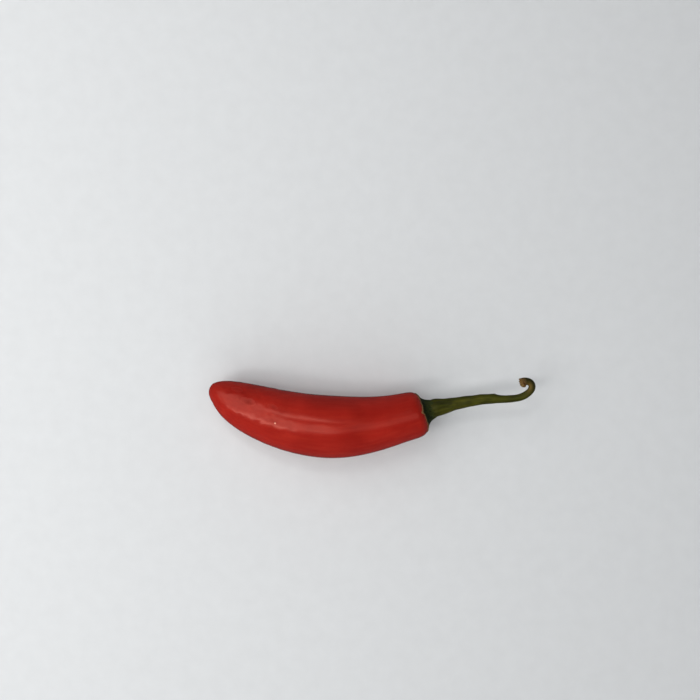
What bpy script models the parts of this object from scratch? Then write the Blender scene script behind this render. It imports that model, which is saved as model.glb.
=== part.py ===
"""A fresh red chilli pepper lying on its side: pod, calyx and hooked stem.

Metres, +Z up. +X runs from the blunt tip of the pod towards the stem, and the pod's bend
lies in the XY plane. Each of the three pieces is one closed solid.
"""

from math import cos, pi, radians, sin

import bmesh
import bpy
import numpy as np
from mathutils import Vector

MM = 0.001
GAP = 0.3 * MM  # air between touching pieces

# Pod: the spine's y is a quartic of x, and the radius grows from the tip to the belly.
TIP_X, SHOULDER_X = -64.0 * MM, 21.6 * MM
BEND_UNIT = 30 * MM  # x is measured in this unit in the quartic
BEND = (-2.5 * MM, 4.6 * MM, 4.65 * MM, -0.85 * MM, -0.32 * MM)
NOSE_LIFT, NOSE_REACH = 0.9 * MM, 3.5 * MM  # the very tip turns up a little more
BELLY_RADIUS = 12.5 * MM
SHOULDER_RADIUS = 9.3 * MM
BELLY_AT = 0.55  # share of the spine from tip to widest section
SHOULDER_FROM = 0.911
TIP_POWER, TIP_ROOT = 1.73, 0.37
SHOULDER_POWER = 4.0
TIP_SINKS = 1.6 * MM  # the tip's centre lies this much lower than the belly's
FLAT_DEPTH = 0.2 * MM  # resting flat worn into the underside
POD_STATIONS, POD_SIDES = 40, 28

# Calyx: a turned flare from the margin on the shoulder to the neck of the stem.
CALYX_AT = np.array([20.55, 2.5]) * MM
CALYX_TURN = radians(17.0)
CALYX_LENGTH = 6.2 * MM
CALYX_PROFILE = (  # radius and height above the margin, in millimetres
    (3.5, 6.2), (3.65, 5.2), (3.95, 4.2), (4.4, 3.2), (5.0, 2.4), (5.85, 1.75),
    (6.8, 1.3), (7.6, 0.9), (8.05, 0.45), (8.1, 0.1), (7.7, -0.2),
)
CALYX_SIDES = 32

# Stem: centre line (x, y, height) and radius, in millimetres, from the neck to the hook.
STEM = (
    (27.1, 4.4, 12.6, 3.4), (30.0, 4.95, 12.9, 2.85), (33.8, 5.8, 13.2, 2.4),
    (37.8, 6.6, 13.5, 2.1), (42.0, 7.2, 13.7, 1.9), (46.0, 7.5, 13.9, 1.85),
    (50.0, 7.5, 14.2, 1.6), (52.5, 7.4, 14.4, 1.4), (56.7, 7.8, 14.9, 1.35),
    (59.7, 8.8, 15.4, 1.35), (61.9, 10.5, 16.0, 1.35), (62.9, 12.4, 16.4, 1.35),
    (62.3, 14.0, 16.7, 1.3), (60.5, 14.7, 16.9, 1.3), (58.8, 14.2, 17.0, 1.45),
    (58.2, 13.4, 17.0, 1.5),
)
STEM_SIDES = 16


def new_collection(name):
    made = bpy.data.collections.new(name)
    bpy.context.scene.collection.children.link(made)
    return made


def material(name, colour, roughness):
    made = bpy.data.materials.new(name)
    made.use_nodes = True
    shader = made.node_tree.nodes["Principled BSDF"]
    shader.inputs["Base Color"].default_value = (*colour, 1.0)
    shader.inputs["Roughness"].default_value = roughness
    made.diffuse_color = (*colour, 1.0)
    return made


def as_mesh(curve, collection):
    """The curve's evaluated mesh as an object of the same name, its caps welded on."""
    bpy.context.view_layer.update()
    graph = bpy.context.evaluated_depsgraph_get()
    mesh = bpy.data.meshes.new_from_object(curve.evaluated_get(graph))
    name, matrix = curve.name, curve.matrix_world.copy()
    bpy.data.objects.remove(curve)
    mesh.name = name
    work = bmesh.new()
    work.from_mesh(mesh)
    bmesh.ops.remove_doubles(work, verts=work.verts, dist=1e-6)
    bmesh.ops.recalc_face_normals(work, faces=work.faces)
    work.to_mesh(mesh)
    work.free()
    made = bpy.data.objects.new(name, mesh)
    made.matrix_world = matrix
    collection.objects.link(made)
    return made


def tube(name, collection, points, radii, sides):
    """A closed tube with a radius of its own at each point."""
    data = bpy.data.curves.new(name, "CURVE")
    data.dimensions = "3D"
    data.twist_mode = "MINIMUM"
    data.bevel_depth = 1.0
    data.bevel_resolution = sides // 2 - 2
    data.use_fill_caps = True
    spline = data.splines.new("POLY")
    spline.points.add(len(points) - 1)
    for point, at, radius in zip(spline.points, points, radii):
        point.co = (*at, 1.0)
        point.radius = radius
    made = bpy.data.objects.new(name, data)
    collection.objects.link(made)
    return as_mesh(made, collection)


def spine(x):
    """Height in y of the pod's spine over x."""
    share = x / BEND_UNIT
    bend = sum(term * share**power for power, term in enumerate(BEND))
    return bend + NOSE_LIFT * np.exp((TIP_X - x) / NOSE_REACH)


def pod_radius(u):
    """Radius at share u of the spine: a blunt tip, the belly, a shoulder that closes at 1."""
    growth = np.clip(1 - np.abs(1 - u / BELLY_AT) ** TIP_POWER, 0, 1) ** TIP_ROOT
    growth = np.where(u < BELLY_AT, growth, 1.0)
    past = np.clip((u - BELLY_AT) / (1 - BELLY_AT), 0, 1)
    ease = (1 - np.cos(pi * past)) / 2
    taper = 1 - (1 - SHOULDER_RADIUS / BELLY_RADIUS) * ease
    close = np.clip((u - SHOULDER_FROM) / (1 - SHOULDER_FROM), 0, 1) ** SHOULDER_POWER
    return BELLY_RADIUS * growth * taper * (1 - close) ** (1 / SHOULDER_POWER)


def pod_stations(grow):
    """Spine points, packed towards both blunt ends, and the radii, made larger by grow."""
    even = (1 - np.cos(np.linspace(0, pi, POD_STATIONS))) / 2
    fine = np.linspace(TIP_X, SHOULDER_X, 600)
    line = np.stack([fine, spine(fine)], axis=1)
    run = np.concatenate([[0], np.cumsum(np.linalg.norm(np.diff(line, axis=0), axis=1))])
    x = np.interp(even, run / run[-1], fine)
    sink = np.clip(1 - even / BELLY_AT, 0, 1) ** 2 * TIP_SINKS
    z = BELLY_RADIUS - FLAT_DEPTH - sink
    radii = pod_radius(even)
    radii[[0, -1]] = 0.35 * MM, 0.6 * MM
    points = np.stack([x, spine(x), z], axis=1)
    if grow:
        step = points[-1] - points[-2]
        points[-1] += step / np.linalg.norm(step) * grow
    return points, radii + grow


def build_pod(parts, cutters):
    points, radii = pod_stations(0.0)
    pod = tube("pod", parts, points, radii, POD_SIDES)
    bpy.ops.mesh.primitive_cube_add(size=1.0, location=(0, 0, -5 * MM))
    floor = bpy.context.object
    floor.name = "flat_cutter"
    floor.scale = (0.2, 0.1, 10 * MM)
    bpy.context.view_layer.update()
    for owner in floor.users_collection:
        owner.objects.unlink(floor)
    cutters.objects.link(floor)
    cut(pod, floor)
    return pod


def cut(target, cutter):
    cutter.hide_render = True
    cutter.display_type = "WIRE"
    boolean = target.modifiers.new("cut_" + cutter.name, "BOOLEAN")
    boolean.operation = "DIFFERENCE"
    boolean.solver = "EXACT"
    boolean.object = cutter


def build_calyx(parts, cutters):
    """The turned flare, hollowed underneath to the shoulder of the pod with a small gap."""
    data = bpy.data.meshes.new("calyx")
    outline = [(0.0, 0.0, CALYX_LENGTH)]
    outline += [(radius * MM, 0.0, height * MM) for radius, height in CALYX_PROFILE]
    outline.append((0.0, 0.0, CALYX_PROFILE[-1][1] * MM))
    data.from_pydata(outline, [(i, i + 1) for i in range(len(outline) - 1)], [])
    calyx = bpy.data.objects.new("calyx", data)
    parts.objects.link(calyx)
    screw = calyx.modifiers.new("turn", "SCREW")
    screw.axis = "Z"
    screw.steps = screw.render_steps = CALYX_SIDES
    screw.use_merge_vertices = True
    screw.merge_threshold = 0.00005
    calyx.location = (*CALYX_AT, BELLY_RADIUS - FLAT_DEPTH)
    calyx.rotation_euler = (0, pi / 2, CALYX_TURN)
    points, radii = pod_stations(GAP)
    cut(calyx, tube("shoulder_cutter", cutters, points, radii, POD_SIDES))
    return calyx


def build_stem(parts):
    """A tapering tube along a smooth line through the named points."""
    data = bpy.data.curves.new("stem", "CURVE")
    data.dimensions = "3D"
    data.resolution_u = 3
    data.twist_mode = "MINIMUM"
    data.bevel_depth = 1.0
    data.bevel_resolution = STEM_SIDES // 2 - 2
    data.use_fill_caps = True
    spline = data.splines.new("BEZIER")
    spline.bezier_points.add(len(STEM) - 1)
    for point, (x, y, z, radius) in zip(spline.bezier_points, STEM):
        point.co = Vector((x, y, z)) * MM
        point.handle_left_type = point.handle_right_type = "AUTO"
        point.radius = radius * MM
    start = spline.bezier_points[0]
    neck = CALYX_LENGTH + GAP
    start.co = (
        CALYX_AT[0] + neck * cos(CALYX_TURN),
        CALYX_AT[1] + neck * sin(CALYX_TURN),
        BELLY_RADIUS - FLAT_DEPTH,
    )
    start.handle_left_type = start.handle_right_type = "FREE"
    along = Vector((cos(CALYX_TURN), sin(CALYX_TURN), 0.0)) * 1.2 * MM
    start.handle_left, start.handle_right = start.co - along, start.co + along
    made = bpy.data.objects.new("stem", data)
    parts.objects.link(made)
    return as_mesh(made, parts)


def bounds(objects):
    graph = bpy.context.evaluated_depsgraph_get()
    corners = []
    for item in objects:
        seen = item.evaluated_get(graph)
        mesh = seen.to_mesh()
        corners += [seen.matrix_world @ vertex.co for vertex in mesh.vertices]
        seen.to_mesh_clear()
    corners = np.array(corners)
    return corners.min(axis=0), corners.max(axis=0)


def main():
    for item in list(bpy.data.objects):
        bpy.data.objects.remove(item)
    parts, cutters = new_collection("red_chilli"), new_collection("cutters")
    pod = build_pod(parts, cutters)
    calyx = build_calyx(parts, cutters)
    stem = build_stem(parts)
    pod.data.materials.append(material("chilli_skin", (0.42, 0.018, 0.012), 0.25))
    calyx.data.materials.append(material("calyx_green", (0.016, 0.02, 0.005), 0.5))
    stem.data.materials.append(material("stem_green", (0.05, 0.05, 0.012), 0.5))
    for piece in (pod, calyx, stem):
        piece.data.shade_smooth()
    bpy.context.view_layer.update()
    low, high = bounds((pod, calyx, stem))
    middle = (low + high) / 2
    for item in (*parts.objects, *cutters.objects):
        item.location.x -= middle[0]
        item.location.y -= middle[1]
        item.location.z -= low[2]


main()
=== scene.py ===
"""A fresh red chilli pepper on a plain studio floor, laid out as an add-on and run as a script."""

from math import cos, radians, sin

import bpy
import numpy as np
from bpy.props import FloatProperty, FloatVectorProperty, PointerProperty
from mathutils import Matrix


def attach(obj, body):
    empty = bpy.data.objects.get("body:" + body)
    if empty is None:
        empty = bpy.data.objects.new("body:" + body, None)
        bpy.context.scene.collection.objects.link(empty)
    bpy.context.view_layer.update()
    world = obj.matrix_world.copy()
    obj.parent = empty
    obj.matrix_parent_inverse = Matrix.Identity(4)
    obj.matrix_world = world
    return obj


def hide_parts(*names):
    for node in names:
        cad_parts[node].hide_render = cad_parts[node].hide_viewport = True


bl_info = {
    "name": "Red Chilli Pepper",
    "version": (1, 0, 0),
    "blender": (4, 5, 0),
    "location": "3D View > Sidebar > Chilli",
    "description": "Builds a ripe chilli with its calyx, hooked stem and a studio floor",
    "category": "Add Mesh",
}

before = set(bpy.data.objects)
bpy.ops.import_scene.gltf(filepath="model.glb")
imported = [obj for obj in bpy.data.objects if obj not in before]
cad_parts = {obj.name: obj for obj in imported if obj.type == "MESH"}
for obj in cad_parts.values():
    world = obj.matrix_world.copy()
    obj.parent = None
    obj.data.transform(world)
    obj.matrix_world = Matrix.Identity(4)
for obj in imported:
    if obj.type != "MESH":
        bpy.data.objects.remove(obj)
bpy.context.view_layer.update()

MM = 0.001

# The pod's spine: y is a quartic of x, counted from BEND_X in lengths of BEND_UNIT, and the
# nose bends a little further towards +Y.
BEND_X = 0.5 * MM
BEND_UNIT = 30 * MM
BEND = (-2.5 * MM, 4.6 * MM, 4.65 * MM, -0.85 * MM, -0.32 * MM)
NOSE_LIFT, NOSE_REACH = 1.7 * MM, 3.5 * MM
TIP_LEAN, TIP_REACH = 1.5 * MM, 2.6 * MM  # the very end is pushed sideways as well
TIP_X, SHOULDER_X = -63.5 * MM, 21.4 * MM
TIP_SINKS = 1.6 * MM  # how much lower the spine lies at the tip than at the belly
REST_FLAT = 0.2 * MM  # how far the belly would reach below the floor if it weren't flattened
FLAT_EASE = 0.08 * MM  # how softly that flat runs out into the round of the belly

# The pod's outline: where the belly and the shoulder begin, as shares of the spine's length,
# and the powers of the curves that close it at both ends.
BELLY_AT, SHOULDER_FROM = 0.55, 0.92
TIP_POWER, TIP_ROOT = 1.73, 0.37
SHOULDER_POWER = 3.6
SHOULDER_SPAN = 7.1 * MM  # length over which the shoulder closes
MARGIN_BACK = 1.2 * MM  # the calyx margin lies this far before the pod's end

# Marks on the skin near the tip: angle round the pod in degrees, distance from the tip, half
# width across and half length along in millimetres, and strength.
# The scuffs are real dents with duller wax; the darker red painted into them is painted shade.
SCUFF_SHADE_MARKS = ((72, 16.6, 1.0, 2.1, 1.0), (66, 26.6, 0.8, 1.6, 0.6), (50, 10.0, 1.0, 2.0, 0.5))
FLECK = (96, 29.5, 0.35, 0.4, 1.0)

# The calyx: its teeth as (angle, half width in degrees, size), and how it sits on the shoulder.
TEETH = ((-90, 21, 1.0), (5, 11, 1.0), (88, 17, 1.0), (158, 14, 0.9), (228, 15, 0.95))
CALYX_SUNK = 0.12 * MM  # depth of the underside below the pod's skin
LIP_SUNK = 0.1 * MM  # depth of the lip's lowest line below it

# The stem's centre line from inside the calyx to the scar: x, y, height, radius in millimetres.
STEM_LINE = (
    (22.6, 2.95, 12.4, 3.3), (26.1, 4.0, 12.6, 3.5), (30.1, 4.85, 12.9, 2.84),
    (33.4, 5.65, 13.1, 2.42), (36.9, 6.35, 13.3, 2.24), (42.0, 7.25, 13.6, 2.05),
    (46.5, 7.7, 13.9, 1.9), (49.0, 7.75, 14.1, 1.8), (51.6, 7.65, 14.3, 1.54),
    (56.3, 7.9, 14.8, 1.4), (59.2, 8.55, 15.2, 1.38), (61.5, 9.7, 15.7, 1.36),
    (63.0, 11.2, 16.1, 1.36), (63.4, 12.8, 16.5, 1.36), (62.8, 14.1, 16.8, 1.32),
    (61.6, 14.8, 17.0, 1.36), (60.3, 14.75, 17.4, 1.6), (59.3, 14.3, 17.8, 1.95),
)
LEDGE_AT = 27.0 * MM  # distance along the stem at which its low ledge breaks off
SCAR_REACH = (0.93, 0.78, 0.58, 0.38, 0.2)  # rings of the scar's hollow, as shares of the rim
SCAR_DEPTH = (-0.05, -0.45, -0.75, -0.7, -0.55)  # and how far each lies past the rim, in mm

UP = np.array([0.0, 0.0, 1.0])


def linear(code):
    """The linear colour of an sRGB hex code such as #A1B2C3."""
    share = np.array([int(code[i : i + 2], 16) for i in (1, 3, 5)]) / 255
    return tuple(np.where(share <= 0.04045, share / 12.92, ((share + 0.055) / 1.055) ** 2.4))


def smooth(value, low, high):
    """0 below low, 1 above high, and an S-shaped rise between them."""
    share = np.clip((value - low) / (high - low), 0, 1)
    return share * share * (3 - 2 * share)


def bell(value, middle, width):
    """A bell curve of height 1 around middle that has fallen to 1/e at width from it."""
    return np.exp(-(((value - middle) / width) ** 2))


def turned(angle, middle):
    """The angle from middle, wrapped to the half turn on either side."""
    return (angle - middle + np.pi) % (2 * np.pi) - np.pi


def wander(seed, waves, *pairs):
    """A smooth uneven value of about unit size: a sum of sines with seeded phases, where each
    pair is a coordinate and the most cycles per unit of it, whole numbers on a closed turn."""
    dice = np.random.default_rng(seed)
    total = 0
    for _ in range(waves):
        phase = dice.uniform(0, 2 * np.pi)
        for coordinate, most in pairs:
            if isinstance(most, int):
                cycles = dice.integers(1, most + 1)
            else:
                cycles = dice.uniform(0.3, 1.0) * most
            phase = phase + 2 * np.pi * cycles * coordinate * dice.choice((-1, 1))
        total = total + np.sin(phase)
    return total / np.sqrt(waves / 2)


def along_path(points, count):
    """Points and further columns at even shares of a smooth line through the given ones:
    cubic Hermite pieces whose end slopes are the mean slopes of their neighbours."""
    points = np.asarray(points, float)
    slope = np.gradient(points, axis=0)
    share = np.linspace(0, len(points) - 1, count)
    piece = np.minimum(share.astype(int), len(points) - 2)
    t = (share - piece)[:, None]
    start, end = points[piece], points[piece + 1]
    return (
        (2 * t**3 - 3 * t**2 + 1) * start
        + (t**3 - 2 * t**2 + t) * slope[piece]
        + (3 * t**2 - 2 * t**3) * end
        + (t**3 - t**2) * slope[piece + 1]
    )


def unit(vectors):
    """Vectors divided by their lengths."""
    return vectors / np.linalg.norm(vectors, axis=-1, keepdims=True)


def sideways(line):
    """For each point of a line: its direction, the level direction to its left, and the third."""
    ahead = unit(np.gradient(line, axis=0))
    left = unit(np.cross(UP, ahead))
    return ahead, left, np.cross(ahead, left)


def full_turn(columns):
    """Angles at even steps round a ring, as one row."""
    return np.linspace(0, 2 * np.pi, columns, endpoint=False)[None, :]


def closed_surface(name, rings, attributes):
    """A closed mesh from a grid of points: one row per ring, first and last row one pole each.
    Attributes hold a value or a vector for each point of the grid."""
    rows, columns = rings.shape[:2]
    inner = rings[1:-1].reshape(-1, 3)
    points = np.concatenate([rings[:1, 0], inner, rings[-1:, 0]])
    row = np.arange(rows - 3)[:, None] * columns + 1
    here, following = np.arange(columns), (np.arange(columns) + 1) % columns
    quads = np.stack(
        [row + here, row + following, row + columns + following, row + columns + here], axis=-1
    ).reshape(-1, 4)
    last = (rows - 3) * columns + 1
    pole = len(points) - 1
    first_fan = np.stack([np.zeros(columns, int), following + 1, here + 1], axis=-1)
    last_fan = np.stack([np.full(columns, pole), last + here, last + following], axis=-1)
    mesh = bpy.data.meshes.new(name)
    faces = quads.tolist() + first_fan.tolist() + last_fan.tolist()
    mesh.from_pydata(points.tolist(), [], faces)
    for key, grid in attributes.items():
        grid = np.asarray(grid, float)
        flat = np.concatenate([grid[:1, 0], grid[1:-1].reshape(-1, *grid.shape[2:]), grid[-1:, 0]])
        kind, slot = ("FLOAT_VECTOR", "vector") if grid.ndim == 3 else ("FLOAT", "value")
        mesh.attributes.new(key, kind, "POINT").data.foreach_set(slot, flat.ravel())
    mesh.update()
    mesh.shade_smooth()
    made = bpy.data.objects.new(name, mesh)
    bpy.context.scene.collection.objects.link(made)
    return made


def finish_piece(piece, material, node):
    """Gives a piece its material, hangs it on the root body and hides the CAD node it stands for.
    """
    piece.data.materials.append(material)
    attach(piece, "root")
    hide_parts(node)


def spine(x):
    """y of the pod's spine over x: the quartic, plus an exponential that dies away from the tip."""
    share = (x - BEND_X) / BEND_UNIT
    bend = sum(term * share**power for power, term in enumerate(BEND))
    return bend + NOSE_LIFT * np.exp((TIP_X - x) / NOSE_REACH)


def spine_line(belly, count):
    """The spine's points, packed towards both ends, with the share and the length run at each."""
    share = (1 - np.cos(np.linspace(0, np.pi, count))) / 2
    fine = np.linspace(TIP_X, SHOULDER_X, 4000)
    steps = np.hypot(np.diff(fine), np.diff(spine(fine)))
    run = np.concatenate([[0], np.cumsum(steps)])
    x = np.interp(share, run / run[-1], fine)
    sink = np.clip(1 - share / BELLY_AT, 0, 1) ** 2 * TIP_SINKS
    line = np.stack([x, spine(x), belly - REST_FLAT - sink], axis=1)
    return line, share, share * run[-1]


def pod_radius(share, belly, shoulder):
    """A root of the way from the tip grows the radius to the belly, a cosine eases it down to
    the shoulder, and a squarish arc, x and y each raised to SHOULDER_POWER, closes it."""
    growth = np.clip(1 - np.abs(1 - share / BELLY_AT) ** TIP_POWER, 0, 1) ** TIP_ROOT
    growth = np.where(share < BELLY_AT, growth, 1.0)
    past = np.clip((share - BELLY_AT) / (1 - BELLY_AT), 0, 1)
    taper = 1 - (1 - shoulder / belly) * (1 - np.cos(np.pi * past)) / 2
    close = np.clip((share - SHOULDER_FROM) / (1 - SHOULDER_FROM), 0, 1)
    return belly * growth * taper * (1 - close**SHOULDER_POWER) ** (1 / SHOULDER_POWER)


def shoulder_end(belly):
    """The pod's end point and the direction in which its spine leaves it."""
    line, _, _ = spine_line(belly, 400)
    ahead = unit(line[-1] - line[-12])
    return line[-1], ahead


def skin_mark(v, s, r, mark):
    """A soft oval mark: one bell across the skin, where the arc is the angle times the radius,
    times one bell along it."""
    at, along, across, length, strength = mark
    arc = turned(v, radians(at)) * r
    return strength * bell(arc, 0, across * MM) * bell(s, along * MM, length * MM)


def pod_surface(settings):
    """Rings around the spine: at share u and angle v the point stands off the spine by the
    radius of u, plus three low lobes towards the shoulder, scuffed dents near the tip, a
    shallow furrow along the crest and three uneven ripples, from lengthwise ridges to fine
    pebbling on the tip half, all of which fade at both ends. An exponential then leans the tip,
    and the mean of z and the root of z squared plus a small square flattens what would lie
    below the floor."""
    rows, columns = 420, 220
    line, share, run = spine_line(settings.belly_radius, rows)
    radius = pod_radius(share, settings.belly_radius, settings.shoulder_radius)
    u, s, r = share[:, None], run[:, None], radius[:, None]
    v = full_turn(columns)
    body = smooth(u, 0.01, 0.12) * (1 - smooth(u, 0.88, 0.965))
    lobes = 0.16 * MM * np.cos(3 * turned(v, radians(100))) * smooth(u, 0.45, 0.9)
    furrow = -0.10 * MM * bell(turned(v, radians(90)), 0, radians(7))
    furrow = furrow * smooth(u, 0.22, 0.34) * (1 - smooth(u, 0.6, 0.75))
    ridges = 0.022 * MM * wander(3, 7, (v / (2 * np.pi), 9), (u, 1.2))
    ripple = 0.012 * MM * wander(11, 9, (v / (2 * np.pi), 14), (u, 7.0))
    pebble = 0.024 * MM * wander(17, 12, (v / (2 * np.pi), 22), (u, 34.0))
    pebble = pebble * (1 - smooth(u, 0.3, 0.5))
    scuff_and_shade = sum(skin_mark(v, s, r, mark) for mark in SCUFF_SHADE_MARKS)
    fleck = skin_mark(v, s, r, FLECK)
    relief = lobes + furrow + ridges + ripple + pebble
    stand = r + body * (settings.unevenness * relief - 0.14 * MM * scuff_and_shade + 0.1 * MM * fleck)
    stand = np.maximum(stand, 0)
    _, left, above = sideways(line)
    ring = np.cos(v)[..., None] * left[:, None] + np.sin(v)[..., None] * above[:, None]
    points = line[:, None] + stand[..., None] * ring
    lean = np.exp(-np.clip(points[..., 0] - TIP_X, 0, None) / TIP_REACH)
    points[..., 1] += TIP_LEAN * lean
    z = points[..., 2]
    points[..., 2] = 0.5 * (z + np.sqrt(z * z + FLAT_EASE * FLAT_EASE))
    wide = np.maximum(r, 2 * MM)  # keeps the skin's pattern from shrinking to a point at the tip
    straight = np.stack([s + 0 * v, np.cos(v) * wide, np.sin(v) * wide], axis=-1)
    return points, {"skin": straight, "scuff_and_shade": scuff_and_shade, "fleck": fleck}


def build_pod(settings):
    """Makes the pod's skin."""
    points, attributes = pod_surface(settings)
    piece = closed_surface("pod_skin", points, attributes)
    finish_piece(piece, chilli_skin(settings), "pod")


def tooth(angle):
    """1 at the middle of a calyx tooth and 0 between teeth, from a bell at each tooth."""
    return sum(
        size * bell(turned(angle, radians(at)), 0, radians(width)) for at, width, size in TEETH
    )


def shoulder_rise(radius, shoulder):
    """Height of the pod's shoulder above the margin's plane at a radius from its axis: the same
    squarish arc that closes the pod, solved for the height."""
    inside = np.clip(1 - (radius / shoulder) ** SHOULDER_POWER, 0, 1)
    return MARGIN_BACK - SHOULDER_SPAN * (1 - inside ** (1 / SHOULDER_POWER))


def calyx_surface(settings, pod):
    """Rings around the shoulder's axis: the underside follows the pod's shoulder out to a
    toothed margin, a rounded lip turns it over, and the top narrows to the stem's neck as a
    falling exponential of height, with a low rib running up from each tooth."""
    v = full_turn(300)
    teeth = tooth(v)
    ragged = 0.10 * MM * wander(21, 6, (v / (2 * np.pi), 23))
    ragged = ragged + 0.05 * MM * wander(22, 6, (v / (2 * np.pi), 47))
    edge = settings.margin_radius - settings.tooth_length * (1 - teeth) + ragged
    thick = settings.calyx_thickness * (0.8 + 0.2 * teeth)

    under = np.linspace(0, 1, 26)[1:, None]
    under_r = under * (edge - CALYX_SUNK)
    under_h = shoulder_rise(under_r, pod.shoulder_radius) - CALYX_SUNK
    turn = np.linspace(-np.pi / 2, np.pi / 2, 9)[1:-1, None]
    edge_h = shoulder_rise(edge, pod.shoulder_radius)
    lip_r = edge - CALYX_SUNK + 0.5 * thick * np.cos(turn)
    lip_h = edge_h + 0.5 * thick * (1 + np.sin(turn)) - LIP_SUNK
    out = np.linspace(0, 1, 70)[:, None]
    neck = settings.neck_radius
    low_h = edge_h + thick - LIP_SUNK
    flare_h = low_h + (settings.flare_height - low_h) * out**1.5
    fall = np.exp(-(flare_h - low_h) / settings.flare_reach)
    flare_r = neck + (edge - CALYX_SUNK - neck) * fall - 0.45 * MM * smooth(out, 0.75, 1.0)
    ribs = 0.24 * MM * (teeth - 0.4) * smooth(out, 0.02, 0.3) * (1 - smooth(out, 0.7, 1))
    fine = 0.05 * MM * wander(31, 8, (v / (2 * np.pi), 40), (out, 1.2))
    flare_r = flare_r + ribs + fine * smooth(out, 0.02, 0.2) * (1 - smooth(out, 0.7, 1))
    flare_h = np.maximum(flare_h, shoulder_rise(flare_r, pod.shoulder_radius) + 0.8 * thick)
    tuck = np.linspace(0, 1, 5)[1:, None]
    tuck_r = flare_r[-1:] * (1 - tuck) ** 0.8
    tuck_h = flare_h[-1:] + 0.3 * MM * tuck

    radius = np.concatenate([0 * edge, under_r + 0 * v, lip_r + 0 * v, flare_r, tuck_r])
    pole_h = np.full_like(edge, MARGIN_BACK - CALYX_SUNK)
    height = np.concatenate([pole_h, under_h + 0 * v, lip_h, flare_h, tuck_h])
    end, ahead = shoulder_end(pod.belly_radius)
    left = unit(np.cross(UP, ahead))
    above = np.cross(ahead, left)
    centre = end - MARGIN_BACK * ahead
    ring = np.cos(v)[..., None] * above + np.sin(v)[..., None] * left
    points = centre + radius[..., None] * ring + height[..., None] * ahead
    from_edge = np.clip((edge - radius) / MM, 0, 9) + 0 * v
    rest = np.stack([height, radius * np.cos(v), radius * np.sin(v)], axis=-1)
    return points, {"from_edge": from_edge, "rest": rest}


def build_calyx(settings, pod):
    """Makes the calyx on a pod of the given settings."""
    points, attributes = calyx_surface(settings, pod)
    piece = closed_surface("calyx_cap", points, attributes)
    finish_piece(piece, calyx_leaf(settings), "calyx")


def stem_surface(settings):
    """Rings along the stem's line: five ribs that fade towards the hook, a ledge on one side
    part of the way out, and a flared ragged rim around the hollowed scar at its end."""
    columns = 120
    path = along_path(STEM_LINE, 520)
    line, radius = path[:, :3] * MM, path[:, 3:4] * MM
    v = full_turn(columns)
    steps = np.linalg.norm(np.diff(line, axis=0), axis=1)
    run = np.concatenate([[0], np.cumsum(steps)])[:, None]
    share = run / run[-1]
    twist = v + 0.9 * share
    ribs = 0.055 * np.cos(5 * twist) + 0.03 * np.cos(3 * twist + 1.2)
    ribs = ribs * (1 - 0.75 * smooth(share, 0.1, 0.8))
    grooves = 0.018 * wander(41, 8, (v / (2 * np.pi), 16), (share, 1.5))
    bumps = 0.02 * wander(42, 7, (v / (2 * np.pi), 4), (share, 9.0))
    ledge = 0.14 * bell(turned(v, radians(10)), 0, radians(50))
    ledge = ledge * smooth(run, LEDGE_AT - 5.0 * MM, LEDGE_AT)
    ledge = ledge * (1 - smooth(run, LEDGE_AT, LEDGE_AT + 1.0 * MM))
    dry = smooth(share, 0.86, 1.0)
    crinkle = 0.05 * dry * wander(43, 9, (v / (2 * np.pi), 11), (share, 16.0))
    stand = radius * (1 + ribs + grooves + bumps + ledge + crinkle)
    ahead, left, above = sideways(line)
    ring = np.cos(v)[..., None] * left[:, None] + np.sin(v)[..., None] * above[:, None]
    points = line[:, None] + stand[..., None] * ring
    frayed = wander(44, 9, (v / (2 * np.pi), 19))
    reach = (0.16 * MM + 0.13 * MM * frayed) * smooth(share, 0.965, 1.0)
    points = points + reach[..., None] * ahead[:, None]

    inward = np.array(SCAR_REACH)[:, None]
    depth = np.array(SCAR_DEPTH)[:, None] * MM
    rim, tip, nose = stand[-1:], line[-1], ahead[-1]
    depth = depth + reach[-1:] * inward**3
    cap_ring = np.cos(v)[..., None] * left[-1] + np.sin(v)[..., None] * above[-1]
    cap = tip + (inward * rim)[..., None] * cap_ring + depth[..., None] * nose
    pole_in = np.repeat(line[:1][:, None], columns, axis=1)
    pole_out = np.repeat((tip - 0.5 * MM * nose)[None, None], columns, axis=1)
    grid = np.concatenate([pole_in, points, cap, pole_out])

    capped = len(inward) + 1  # rows past the stem's last ring: the scar's rings and its pole
    share_all = np.concatenate([share[:1], share, np.ones((capped, 1))]) + 0 * v
    run_all = np.concatenate([run[:1], run, np.repeat(run[-1:], capped, axis=0)]) + 0 * v
    around = 2 * MM + 0 * run_all
    rest = np.stack([run_all, np.cos(v) * around, np.sin(v) * around], axis=-1)
    scar = smooth(share_all, 0.955, 1.0)
    # The core is the dark red centre of the scar: partly pith, partly painted shade in its hollow.
    off_core = np.hypot(inward * np.cos(v) - 0.35, inward * np.sin(v))
    core = np.concatenate([0 * share_all[:-capped], bell(off_core, 0, 0.4), 0.5 + 0 * v])
    # The inner side of the hook, where a tan streak goes: partly dried tan, partly painted
    # highlight.
    inner = bell(turned(v, radians(50)), 0, radians(38)) * smooth(share_all, 0.8, 0.88)
    return grid, {"rest": rest, "scar": scar, "core": core, "share": share_all, "inner": inner}


def build_stem(settings):
    """Makes the stem."""
    points, attributes = stem_surface(settings)
    piece = closed_surface("stem_stalk", points, attributes)
    finish_piece(piece, stem_stalk(settings), "stem")


def add(tree, kind, inputs, out=0, **settings):
    """Adds one node and gives its output out: settings are its own properties, and inputs pair
    a socket's name or number with a value or with the output that feeds it."""
    made = tree.nodes.new(kind)
    for key, value in settings.items():
        setattr(made, key, value)
    for key, value in inputs.items():
        if isinstance(value, bpy.types.NodeSocket):
            tree.links.new(value, made.inputs[key])
        else:
            made.inputs[key].default_value = value
    return made.outputs[out] if made.outputs else None


def new_tree(name):
    """A material with an empty tree."""
    made = bpy.data.materials.new(name)
    made.use_nodes = True
    made.node_tree.nodes.clear()
    return made, made.node_tree


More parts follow.
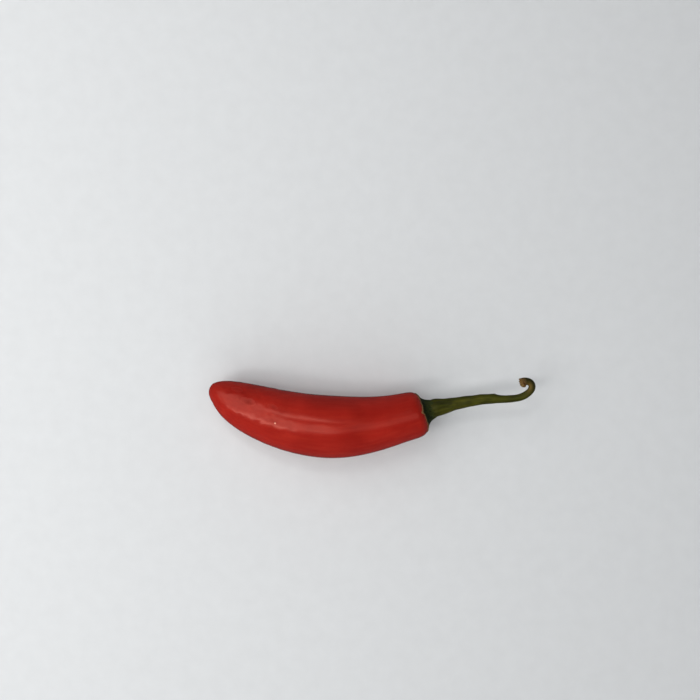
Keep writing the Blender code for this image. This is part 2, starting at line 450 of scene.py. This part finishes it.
# Map Range's numbered inputs are the value, from low and high, and to low and high. Mix has its
# share in input 0, and Math its terms in 0, 1 and 2. Each noise scale is 1 over a real size.
READ, NOISE, RANGE = "ShaderNodeAttribute", "ShaderNodeTexNoise", "ShaderNodeMapRange"
MIX, MATH, MAPPING = "ShaderNodeMix", "ShaderNodeMath", "ShaderNodeMapping"
BUMP, SHADER, OUTPUT = "ShaderNodeBump", "ShaderNodeBsdfPrincipled", "ShaderNodeOutputMaterial"
TINT = {"data_type": "RGBA", "out": 2}  # a Mix node that blends two colours, in inputs 6 and 7


def paint(colour):
    """A colour of three shares with the full opacity that a colour socket also takes."""
    return (*colour, 1.0)


# SCUFF_SHADE_RED is the darker red of the scuffs: partly their own colour, partly painted shade in
# the dents.
SCUFF_SHADE_RED, FLECK_PINK = linear("#78120B"), linear("#E8A58E")
# PITH_SHADE_RED is the dark red core of the scar: partly the pith's colour, partly painted shade in
# the hollow.
CORK_BROWN, PITH_SHADE_RED = linear("#4A3016"), linear("#3A0F08")
WAX_SHEEN, STALK_SHEEN = linear("#FFAA9A"), linear("#FFF9CB")  # tint the gloss at grazing angles


def chilli_skin(settings):
    """Ripe chilli cuticle: a thin wax over red flesh. It gives soft-edged pinkish highlights
    and a colour that drifts between blood red and orange red, with a few dull scuffs whose
    darker red is painted shade."""
    made, tree = new_tree("ripe_chilli_cuticle")
    reds = settings.deep_red, settings.ripe_red, settings.orange_red
    deep, ripe, orange = map(paint, reds)
    skin = add(tree, READ, {}, "Vector", attribute_name="skin")
    patches = add(tree, NOISE, {"Vector": skin, "Scale": 1 / (11 * MM), "Detail": 3.0})
    long = add(tree, MAPPING, {"Vector": skin, "Scale": (0.1, 1.0, 1.0)})
    streaks = add(tree, NOISE, {"Vector": long, "Scale": 1 / (1.3 * MM), "Detail": 3.0})
    cloud = add(tree, NOISE, {"Vector": skin, "Scale": 1 / (2.4 * MM), "Detail": 4.0})
    drift = add(tree, RANGE, {0: patches, 1: 0.3, 2: 0.75})
    colour = add(tree, MIX, {0: drift, 6: deep, 7: ripe}, **TINT)
    lighter = add(tree, RANGE, {0: streaks, 1: 0.45, 2: 0.8, 4: 0.18})
    colour = add(tree, MIX, {0: lighter, 6: colour, 7: orange}, **TINT)
    darker = add(tree, RANGE, {0: cloud, 1: 0.5, 2: 0.8, 4: 0.2})
    colour = add(tree, MIX, {0: darker, 6: colour, 7: deep}, **TINT)
    scuff_and_shade = add(tree, READ, {}, "Fac", attribute_name="scuff_and_shade")
    speckle = add(tree, NOISE, {"Vector": skin, "Scale": 1 / (1.1 * MM), "Detail": 3.0})
    speckle = add(tree, RANGE, {0: speckle, 1: 0.3, 2: 0.7, 3: 0.5, 4: 1.4})
    worn_and_shaded = add(tree, MATH, {0: scuff_and_shade, 1: speckle}, operation="MULTIPLY")
    # Darker red in the scuffs: painted shade where the dents break the highlight; the duller gloss
    # below is real.
    shade = add(tree, RANGE, {0: worn_and_shaded, 1: 0.1, 2: 1.1, 4: 0.8})
    colour = add(tree, MIX, {0: shade, 6: colour, 7: paint(SCUFF_SHADE_RED)}, **TINT)
    fleck = add(tree, READ, {}, "Fac", attribute_name="fleck")
    fleck = add(tree, RANGE, {0: fleck, 1: 0.3, 2: 0.7})
    colour = add(tree, MIX, {0: fleck, 6: colour, 7: paint(FLECK_PINK)}, **TINT)
    gloss = add(tree, RANGE, {0: worn_and_shaded, 1: 0.0, 2: 1.3, 3: settings.skin_roughness, 4: 0.6})
    skin_shader = add(tree, SHADER, {
        "Base Color": colour, "Roughness": gloss, "IOR": 1.5,
        "Specular Tint": paint(WAX_SHEEN), "Subsurface Weight": 0.08,
        "Subsurface Radius": (1.0, 0.22, 0.12), "Subsurface Scale": 1.2 * MM,
    })
    add(tree, OUTPUT, {"Surface": skin_shader})
    return made


def calyx_leaf(settings):
    """Fresh calyx: leathery dark green tissue that has dried to a thin brown edge. It gives a
    dull sheen, darker between the ribs, and runs into the olive of the stem. Its greens are
    set darker than the leaf's own colour, partly as painted shade."""
    made, tree = new_tree("fresh_calyx_leaf")
    greens = settings.calyx_dark, settings.calyx_green, settings.calyx_light
    dark, green, light = map(paint, greens)
    tan, olive = paint(settings.margin_tan), paint(settings.neck_olive)
    rest = add(tree, READ, {}, "Vector", attribute_name="rest")
    mottle = add(tree, NOISE, {"Vector": rest, "Scale": 1 / (1.3 * MM), "Detail": 4.0})
    long = add(tree, MAPPING, {"Vector": rest, "Scale": (0.2, 1.0, 1.0)})
    veins = add(tree, NOISE, {"Vector": long, "Scale": 1 / (0.7 * MM), "Detail": 3.0})
    blotch = add(tree, RANGE, {0: mottle, 1: 0.35, 2: 0.7})
    colour = add(tree, MIX, {0: blotch, 6: dark, 7: green}, **TINT)
    vein = add(tree, RANGE, {0: veins, 1: 0.5, 2: 0.75, 4: 0.35})
    colour = add(tree, MIX, {0: vein, 6: colour, 7: light}, **TINT)
    fibres = add(tree, RANGE, {0: veins, 1: 0.35, 2: 0.68})
    neck = add(tree, MIX, {0: fibres, 6: green, 7: olive}, **TINT)
    rise = add(tree, "ShaderNodeSeparateXYZ", {0: rest}, "X")
    waver = add(tree, RANGE, {0: mottle, 1: 0.3, 2: 0.7, 3: -0.6 * MM, 4: 0.6 * MM})
    climb = add(tree, MATH, {0: rise, 1: waver})
    climb = add(tree, RANGE, {0: climb, 1: 1.6 * MM, 2: 4.4 * MM})
    colour = add(tree, MIX, {0: climb, 6: colour, 7: neck}, **TINT)
    uneven = add(tree, NOISE, {"Vector": rest, "Scale": 1 / (1.6 * MM), "Detail": 3.0})
    width = add(tree, RANGE, {0: uneven, 1: 0.4, 2: 0.7, 3: 0.1, 4: 0.7})
    edge = add(tree, READ, {}, "Fac", attribute_name="from_edge")
    near = add(tree, MATH, {0: width, 1: edge}, operation="SUBTRACT")
    near = add(tree, RANGE, {0: near, 1: -0.15, 2: 0.3})
    colour = add(tree, MIX, {0: near, 6: colour, 7: tan}, **TINT)
    relief = add(tree, BUMP, {"Height": veins, "Strength": 0.5, "Distance": 0.25 * MM})
    leaf = {"Base Color": colour, "Normal": relief, "IOR": 1.3, "Roughness": 0.6}
    add(tree, OUTPUT, {"Surface": add(tree, SHADER, leaf)})
    return made


def stem_stalk(settings):
    """Fresh stalk: fibrous green skin with fine lengthwise streaks. It gives an olive that is
    dark at the neck, browns in the hook where it has dried, and ends in a pale corky scar.
    Its olives and browns are set darker than its own colour, partly as painted shade; the dark
    neck is painted shade where the stem meets the calyx, the tan streak inside the hook is
    partly painted highlight and the scar's dark red core is partly painted shade."""
    made, tree = new_tree("fibrous_green_stalk")
    greens = settings.stem_dark, settings.stem_olive, settings.stem_light
    dark, olive, light = map(paint, greens)
    dried = settings.hook_brown, settings.hook_tan, settings.scar_tan
    brown, tan, cork_tan = map(paint, dried)
    rest = add(tree, READ, {}, "Vector", attribute_name="rest")
    share = add(tree, READ, {}, "Fac", attribute_name="share")
    long = add(tree, MAPPING, {"Vector": rest, "Scale": (0.07, 1.0, 1.0)})
    streaks = add(tree, NOISE, {"Vector": long, "Scale": 1 / (0.55 * MM), "Detail": 3.0})
    oblong = add(tree, MAPPING, {"Vector": rest, "Scale": (0.35, 1.0, 1.0)})
    patches = add(tree, NOISE, {"Vector": oblong, "Scale": 1 / (2.2 * MM), "Detail": 3.0})
    fibres = add(tree, RANGE, {0: streaks, 1: 0.35, 2: 0.68})
    colour = add(tree, MIX, {0: fibres, 6: dark, 7: olive}, **TINT)
    pale = add(tree, RANGE, {0: patches, 1: 0.42, 2: 0.72, 4: 0.75})
    colour = add(tree, MIX, {0: pale, 6: colour, 7: light}, **TINT)
    # Darker towards the calyx: painted shade where the stem meets the calyx.
    neck = add(tree, RANGE, {0: share, 1: 0.02, 2: 0.16, 3: 0.6, 4: 0.0})
    colour = add(tree, MIX, {0: neck, 6: colour, 7: dark}, **TINT)
    waver = add(tree, RANGE, {0: patches, 1: 0.3, 2: 0.7, 3: -0.05, 4: 0.05})
    drying = add(tree, MATH, {0: share, 1: waver})
    drying = add(tree, RANGE, {0: drying, 1: 0.74, 2: 0.93, 4: 0.8})
    colour = add(tree, MIX, {0: drying, 6: colour, 7: brown}, **TINT)
    # A tan streak along the hook's inner side: the dried stalk's tan, partly a painted highlight.
    inner = add(tree, READ, {}, "Fac", attribute_name="inner")
    broken = add(tree, RANGE, {0: patches, 1: 0.3, 2: 0.7, 3: 0.4, 4: 1.0})
    inner = add(tree, MATH, {0: inner, 1: broken}, operation="MULTIPLY")
    colour = add(tree, MIX, {0: inner, 6: colour, 7: tan}, **TINT)
    grain = add(tree, NOISE, {"Vector": rest, "Scale": 1 / (0.45 * MM), "Detail": 4.0})
    crumbs = add(tree, RANGE, {0: grain, 1: 0.35, 2: 0.65})
    cork = add(tree, MIX, {0: crumbs, 6: paint(CORK_BROWN), 7: cork_tan}, **TINT)
    # The dark red core of the scar: partly pith, partly painted shade in its hollow.
    core = add(tree, READ, {}, "Fac", attribute_name="core")
    core = add(tree, RANGE, {0: core, 1: 0.3, 2: 0.8})
    cork = add(tree, MIX, {0: core, 6: cork, 7: paint(PITH_SHADE_RED)}, **TINT)
    scar = add(tree, READ, {}, "Fac", attribute_name="scar")
    scar = add(tree, RANGE, {0: scar, 1: 0.25, 2: 0.8})
    colour = add(tree, MIX, {0: scar, 6: colour, 7: cork}, **TINT)
    height = add(tree, MATH, {0: grain, 1: 0.3, 2: streaks}, operation="MULTIPLY_ADD")
    relief = add(tree, BUMP, {"Height": height, "Strength": 0.6, "Distance": 0.2 * MM})
    stalk = add(tree, SHADER, {
        "Base Color": colour, "Normal": relief, "IOR": 1.3, "Roughness": 0.55,
        "Specular Tint": paint(STALK_SHEEN),
    })
    add(tree, OUTPUT, {"Surface": stalk})
    return made


def studio_paper(settings):
    """Matt studio paper: fine pale fibres. It gives an even field with only a faint tooth."""
    made, tree = new_tree("matt_studio_paper")
    pale = paint(settings.floor_colour)
    duller = paint(share * 0.97 for share in settings.floor_colour)
    place = add(tree, "ShaderNodeTexCoord", {}, "Object")
    fibre = add(tree, NOISE, {"Vector": place, "Scale": 1 / (6 * MM), "Detail": 3.0})
    fibre = add(tree, RANGE, {0: fibre, 1: 0.3, 2: 0.7})
    colour = add(tree, MIX, {0: fibre, 6: duller, 7: pale}, **TINT)
    paper = {"Base Color": colour, "Roughness": 0.9, "IOR": 1.4, "Specular IOR Level": 0.2}
    add(tree, OUTPUT, {"Surface": add(tree, SHADER, paper)})
    return made


SWEEP_BEND = 1.6  # radius in metres of the curve that turns the floor up into a backdrop

# Panels above the chilli: name, place, width and depth in metres, yaw in degrees and power.
PANELS = (
    ("broad_panel", (-0.60, 0.24, 0.62), (0.80, 1.10), 0, 6.0),
    ("edge_strip", (-0.56, -0.24, 0.61), (0.72, 0.12), 8, 1.6),
    ("near_strip", (-0.10, -0.07, 0.62), (0.26, 0.13), -30, 0.38),
    ("far_strip", (-0.10, 0.30, 0.62), (0.24, 0.08), -15, 0.44),
    ("stem_panel", (0.30, 0.02, 0.62), (0.45, 0.30), 0, 0.45),
)
WINDOW_POWER, WASH_POWER = 11.0, 22.0
WASH_OUT, WASH_HEIGHT = 0.5, 1.3  # the four lights for the backdrop stand round the middle
WARM, NEUTRAL, SKY = (1, 0.98, 0.95), (1, 1, 1), (0.80, 0.84, 0.90)
CAMERA_X, CAMERA_Y = -8.5 * MM, 27.2 * MM


def floor_surface(settings):
    """A round floor whose edge sweeps up: flat to a radius, then nearly a quarter circle."""
    columns = 96
    reach = np.linspace(0, 1, 24)[1:] ** 1.5 * settings.floor_radius
    turn = np.linspace(0, radians(88), 40)[1:]
    radius = np.concatenate([reach, settings.floor_radius + SWEEP_BEND * np.sin(turn)])[:, None]
    height = np.concatenate([0 * reach, SWEEP_BEND * (1 - np.cos(turn))])[:, None]
    v = full_turn(columns)
    rings = np.stack([radius * np.cos(v), radius * np.sin(v), height + 0 * v], axis=-1)
    points = np.concatenate([[[0.0, 0.0, 0.0]], rings.reshape(-1, 3)])
    row = np.arange(len(radius) - 1)[:, None] * columns + 1
    here, following = np.arange(columns), (np.arange(columns) + 1) % columns
    quads = np.stack(
        [row + here, row + columns + here, row + columns + following, row + following], axis=-1
    ).reshape(-1, 4)
    fan = np.stack([np.zeros(columns, int), here + 1, following + 1], axis=-1)
    return points, quads.tolist() + fan.tolist()


def softbox(name, place, size, yaw, power, colour, tilt=0):
    """A rectangular area light that the camera doesn't see. It faces down, is tilted up by
    tilt degrees towards +Y, and is then turned by yaw degrees about the vertical."""
    data = bpy.data.lights.new(name, "AREA")
    data.shape = "RECTANGLE"
    data.size, data.size_y = size
    data.energy = power
    data.color = colour
    made = bpy.data.objects.new(name, data)
    made.location = place
    made.rotation_euler = (radians(tilt), 0, radians(yaw))
    made.visible_camera = False
    bpy.context.scene.collection.objects.link(made)
    return made


def build_stage(settings):
    """Makes the floor, the lights, the air's faint light and the camera straight above."""
    points, faces = floor_surface(settings)
    mesh = bpy.data.meshes.new("floor_sweep")
    mesh.from_pydata(points.tolist(), [], faces)
    mesh.shade_smooth()
    floor = bpy.data.objects.new("floor_sweep", mesh)
    bpy.context.scene.collection.objects.link(floor)
    mesh.materials.append(studio_paper(settings))
    floor.visible_glossy = False  # keeps the pale floor out of the wax's grazing reflections

    power = settings.light_power
    for name, place, size, yaw, strength in PANELS:
        softbox(name, place, size, yaw, strength * power, WARM)
    window = softbox(
        "window", (-0.20, -1.25, 0.85), (2.4, 1.3), 0, WINDOW_POWER * power, WARM, tilt=56
    )
    window.visible_glossy = False  # lights the near side without a second highlight
    for yaw in (0, 90, 180, 270):
        place = (-WASH_OUT * sin(radians(yaw)), WASH_OUT * cos(radians(yaw)), WASH_HEIGHT)
        wash = softbox(
            f"wall_wash_{yaw}", place, (1.0, 0.5), yaw, WASH_POWER * power, NEUTRAL, tilt=80
        )
        wash.visible_glossy = False  # brightens only the backdrop

    world = bpy.data.worlds.new("studio_air")
    world.use_nodes = True
    back = world.node_tree.nodes["Background"]
    back.inputs["Color"].default_value = paint(SKY)
    back.inputs["Strength"].default_value = settings.air_light
    bpy.context.scene.world = world

    data = bpy.data.cameras.new("overhead")
    data.sensor_width = 36.0
    data.lens = settings.lens
    data.clip_start = 0.01
    data.dof.use_dof = False
    camera = bpy.data.objects.new("overhead", data)
    camera.location = (CAMERA_X, CAMERA_Y, settings.camera_height)
    bpy.context.scene.collection.objects.link(camera)
    bpy.context.scene.camera = camera
    bpy.context.scene.view_settings.view_transform = "Standard"


def colour_prop(name, code, description):
    """A colour setting whose default is an sRGB hex code."""
    return FloatVectorProperty(
        name=name, description=description, default=linear(code), subtype="COLOR", min=0, max=1
    )


class ChilliPodSettings(bpy.types.PropertyGroup):
    belly_radius: FloatProperty(
        name="Belly radius", description="Radius of the pod at its widest",
        default=12.5 * MM, unit="LENGTH",
    )
    shoulder_radius: FloatProperty(
        name="Shoulder radius", description="Radius of the pod just before the calyx",
        default=9.3 * MM, unit="LENGTH",
    )
    unevenness: FloatProperty(
        name="Unevenness", description="How strongly lobes and ripples show in the skin",
        default=1.0, min=0, max=3, subtype="FACTOR",
    )
    skin_roughness: FloatProperty(
        name="Skin roughness", description="Roughness of the waxy skin",
        default=0.25, min=0, max=1, subtype="FACTOR",
    )
    deep_red: colour_prop("Deep red", "#8A1710", "Ripest parts of the skin")
    ripe_red: colour_prop("Ripe red", "#A02017", "Most of the skin")
    orange_red: colour_prop("Orange red", "#B83A26", "Lighter streaks in the skin")


class ChilliCalyxSettings(bpy.types.PropertyGroup):
    margin_radius: FloatProperty(
        name="Margin radius", description="Radius of the calyx at the points of its teeth",
        default=8.15 * MM, unit="LENGTH",
    )
    tooth_length: FloatProperty(
        name="Tooth length", description="How far the margin draws back between teeth",
        default=1.2 * MM, unit="LENGTH",
    )
    calyx_thickness: FloatProperty(
        name="Thickness", description="Thickness of the calyx at its margin",
        default=0.45 * MM, unit="LENGTH",
    )
    neck_radius: FloatProperty(
        name="Neck radius", description="Radius where the calyx meets the stem",
        default=3.3 * MM, unit="LENGTH",
    )
    flare_height: FloatProperty(
        name="Flare height", description="Height of the flare from the margin to the neck",
        default=6.6 * MM, unit="LENGTH",
    )
    flare_reach: FloatProperty(
        name="Flare reach", description="Height over which the flare narrows to a third",
        default=1.75 * MM, unit="LENGTH",
    )
    # The three greens are mixed in random mottles; all are set darker than the leaf's own colour,
    # partly painted shade.
    calyx_dark: colour_prop("Dark green", "#0E1505", "Hollows of the calyx")
    calyx_green: colour_prop("Green", "#232E0B", "Most of the calyx")
    calyx_light: colour_prop("Light green", "#3A4614", "Veins of the calyx")
    margin_tan: colour_prop("Dried edge", "#7A5534", "The dried margin of the calyx")
    neck_olive: colour_prop("Neck olive", "#383B0A", "Where the calyx runs into the stem")


class ChilliStemSettings(bpy.types.PropertyGroup):
    # The olives and the hook brown are set darker than the stalk's own colour: partly painted
    # shade.
    stem_dark: colour_prop("Dark olive", "#1E2005", "Grooves and neck of the stem")
    stem_olive: colour_prop("Olive", "#3A3D08", "Most of the stem")
    stem_light: colour_prop("Light olive", "#4C4A10", "Raised fibres of the stem")
    hook_brown: colour_prop("Hook brown", "#2C260D", "The drying hook")
    # hook_tan colours the hook's inner side: partly dried tan, partly painted highlight.
    hook_tan: colour_prop("Hook tan", "#6B5428", "The dried inner side of the hook")
    scar_tan: colour_prop("Scar tan", "#7D6238", "The corky scar at the end of the stem")


class ChilliStageSettings(bpy.types.PropertyGroup):
    floor_colour: colour_prop("Floor colour", "#D2D5D8", "Colour of the studio paper")
    floor_radius: FloatProperty(
        name="Floor radius", description="Radius of the flat floor", default=1.3, unit="LENGTH"
    )
    light_power: FloatProperty(
        name="Light power", description="Brightness of all the panels together", default=1.0, min=0
    )
    air_light: FloatProperty(
        name="Air light", description="Brightness of the light from all around", default=0.10, min=0
    )
    lens: FloatProperty(
        name="Lens", description="Focal length of the camera in millimetres", default=46.3, min=1
    )
    camera_height: FloatProperty(
        name="Camera height", description="Height of the camera above the floor",
        default=372.5 * MM, unit="LENGTH",
    )


class CHILLI_OT_pod(bpy.types.Operator):
    """Build the red pod"""

    bl_idname = "chilli.pod"
    bl_label = "Build pod"

    def execute(self, context):
        build_pod(context.scene.chilli_pod)
        return {"FINISHED"}


class CHILLI_OT_calyx(bpy.types.Operator):
    """Build the green calyx on the pod's shoulder"""

    bl_idname = "chilli.calyx"
    bl_label = "Build calyx"

    def execute(self, context):
        build_calyx(context.scene.chilli_calyx, context.scene.chilli_pod)
        return {"FINISHED"}


class CHILLI_OT_stem(bpy.types.Operator):
    """Build the hooked stem"""

    bl_idname = "chilli.stem"
    bl_label = "Build stem"

    def execute(self, context):
        build_stem(context.scene.chilli_stem)
        return {"FINISHED"}


class CHILLI_OT_stage(bpy.types.Operator):
    """Build the floor, the lights and the camera"""

    bl_idname = "chilli.stage"
    bl_label = "Build stage"

    def execute(self, context):
        build_stage(context.scene.chilli_stage)
        return {"FINISHED"}


OPERATORS = (CHILLI_OT_pod, CHILLI_OT_calyx, CHILLI_OT_stem, CHILLI_OT_stage)
SETTINGS = {
    "chilli_pod": ChilliPodSettings,
    "chilli_calyx": ChilliCalyxSettings,
    "chilli_stem": ChilliStemSettings,
    "chilli_stage": ChilliStageSettings,
}


class CHILLI_PT_sidebar(bpy.types.Panel):
    """Sizes, colours and build buttons of the chilli"""

    bl_idname = "CHILLI_PT_sidebar"
    bl_label = "Chilli"
    bl_space_type = "VIEW_3D"
    bl_region_type = "UI"
    bl_category = "Chilli"

    def draw(self, context):
        for (key, group), operator in zip(SETTINGS.items(), OPERATORS):
            box = self.layout.box()
            for name in group.__annotations__:
                box.prop(getattr(context.scene, key), name)
            box.operator(operator.bl_idname)


def register():
    for item in (*SETTINGS.values(), *OPERATORS, CHILLI_PT_sidebar):
        bpy.utils.register_class(item)
    for key, group in SETTINGS.items():
        setattr(bpy.types.Scene, key, PointerProperty(type=group))


def unregister():
    for key in SETTINGS:
        delattr(bpy.types.Scene, key)
    for item in reversed((*SETTINGS.values(), *OPERATORS, CHILLI_PT_sidebar)):
        bpy.utils.unregister_class(item)


def main():
    register()
    bpy.ops.chilli.pod()
    bpy.ops.chilli.calyx()
    bpy.ops.chilli.stem()
    bpy.ops.chilli.stage()


if __name__ == "__main__":
    main()
